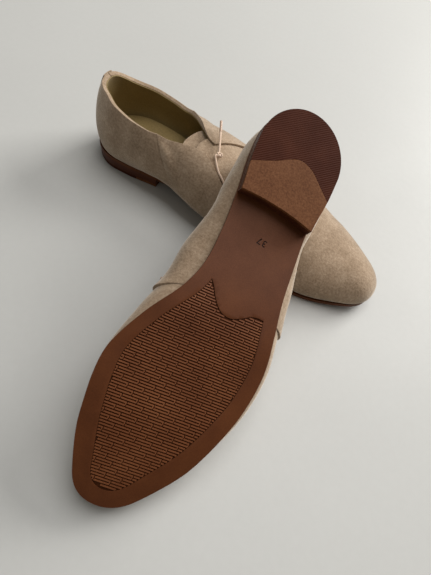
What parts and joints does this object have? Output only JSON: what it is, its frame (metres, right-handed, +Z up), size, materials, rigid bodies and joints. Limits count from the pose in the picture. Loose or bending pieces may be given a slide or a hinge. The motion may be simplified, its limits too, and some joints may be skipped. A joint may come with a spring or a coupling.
{
  "type": "pair of lace-up flat shoes",
  "caption": "Pair of low suede lace-up flats with an almond toe, leather sole with a bar tread and a low stacked heel, one standing and one overturned on it.",
  "frame": {"origin": "ground face of the left heel, 20 mm forward of the heel back, on the sole's centre line", "axes": "+X from heel to toe of the standing left shoe, +Y to its lateral side, +Z up"},
  "size_m": [0.2668, 0.2838, 0.1122],
  "materials": {
    "suede": "soft matt nap, slightly lighter on the raised side",
    "sole_leather": "dark brown, satin on the smooth parts, recessed bar tread in the forepart",
    "heel_leather": "stacked and edge dyed, fine grain",
    "heel_rubber": "matt, finely ribbed",
    "lining_leather": "smooth, soft satin",
    "board": "pressed fibre",
    "cork": "ground cork",
    "felt": "soft felt",
    "steel": "plain strip steel",
    "lace": "round waxed cotton cord",
    "aglet": "crimped sleeve, satin"
  },
  "bodies": {
    "left_shoe": {"left_aglet_lateral": "aglet", "left_aglet_medial": "aglet", "left_back_tab": "suede", "left_cork_filler": "cork", "left_facing_lateral": "suede", "left_facing_medial": "suede", "left_heel_counter": "board", "left_heel_lift_lower": "heel_leather", "left_heel_lift_upper": "heel_leather", "left_heel_pad": "felt", "left_heel_screw": "steel", "left_insole_board": "board", "left_lace_knot": "lace", "left_lace_tail_lateral": "lace", "left_lace_tail_medial": "lace", "left_outsole": "sole_leather", "left_quarter_lateral": "suede", "left_quarter_lining": "lining_leather", "left_quarter_medial": "suede", "left_shank": "steel", "left_sock_lining": "lining_leather", "left_toe_puff": "board", "left_top_piece_leather": "heel_leather", "left_top_piece_rubber": "heel_rubber", "left_vamp": "suede", "left_vamp_lining": "lining_leather"},
    "left_tongue_flap": {"left_tongue": "suede"},
    "right_shoe": {"right_aglet_lateral": "aglet", "right_aglet_medial": "aglet", "right_back_tab": "suede", "right_cork_filler": "cork", "right_facing_lateral": "suede", "right_facing_medial": "suede", "right_heel_counter": "board", "right_heel_lift_lower": "heel_leather", "right_heel_lift_upper": "heel_leather", "right_heel_pad": "felt", "right_heel_screw": "steel", "right_insole_board": "board", "right_lace_knot": "lace", "right_lace_tail_lateral": "lace", "right_lace_tail_medial": "lace", "right_outsole": "sole_leather", "right_quarter_lateral": "suede", "right_quarter_lining": "lining_leather", "right_quarter_medial": "suede", "right_shank": "steel", "right_sock_lining": "lining_leather", "right_toe_puff": "board", "right_top_piece_leather": "heel_leather", "right_top_piece_rubber": "heel_rubber", "right_vamp": "suede", "right_vamp_lining": "lining_leather"},
    "right_tongue_flap": {"right_tongue": "suede"}
  },
  "joints": [
    {"name": "right_shoe_lift", "type": "slide", "parent": "left_shoe", "child": "right_shoe", "axis": [0, 0, 1], "range_m": [0, 0.15]},
    {"name": "left_tongue_flex", "type": "hinge", "parent": "left_shoe", "child": "left_tongue_flap", "pos_m": [0.079, -0.0035, 0.0488], "axis": [0, 1, 0], "range_deg": [-25, 0], "stiffness_Nm_per_rad": 0.01},
    {"name": "right_tongue_flex", "type": "hinge", "parent": "right_shoe", "child": "right_tongue_flap", "pos_m": [0.13983, -0.06582, 0.03243], "axis": [-0.9511, -0.19, 0.2434], "range_deg": [-25, 0], "stiffness_Nm_per_rad": 0.01}
  ]
}
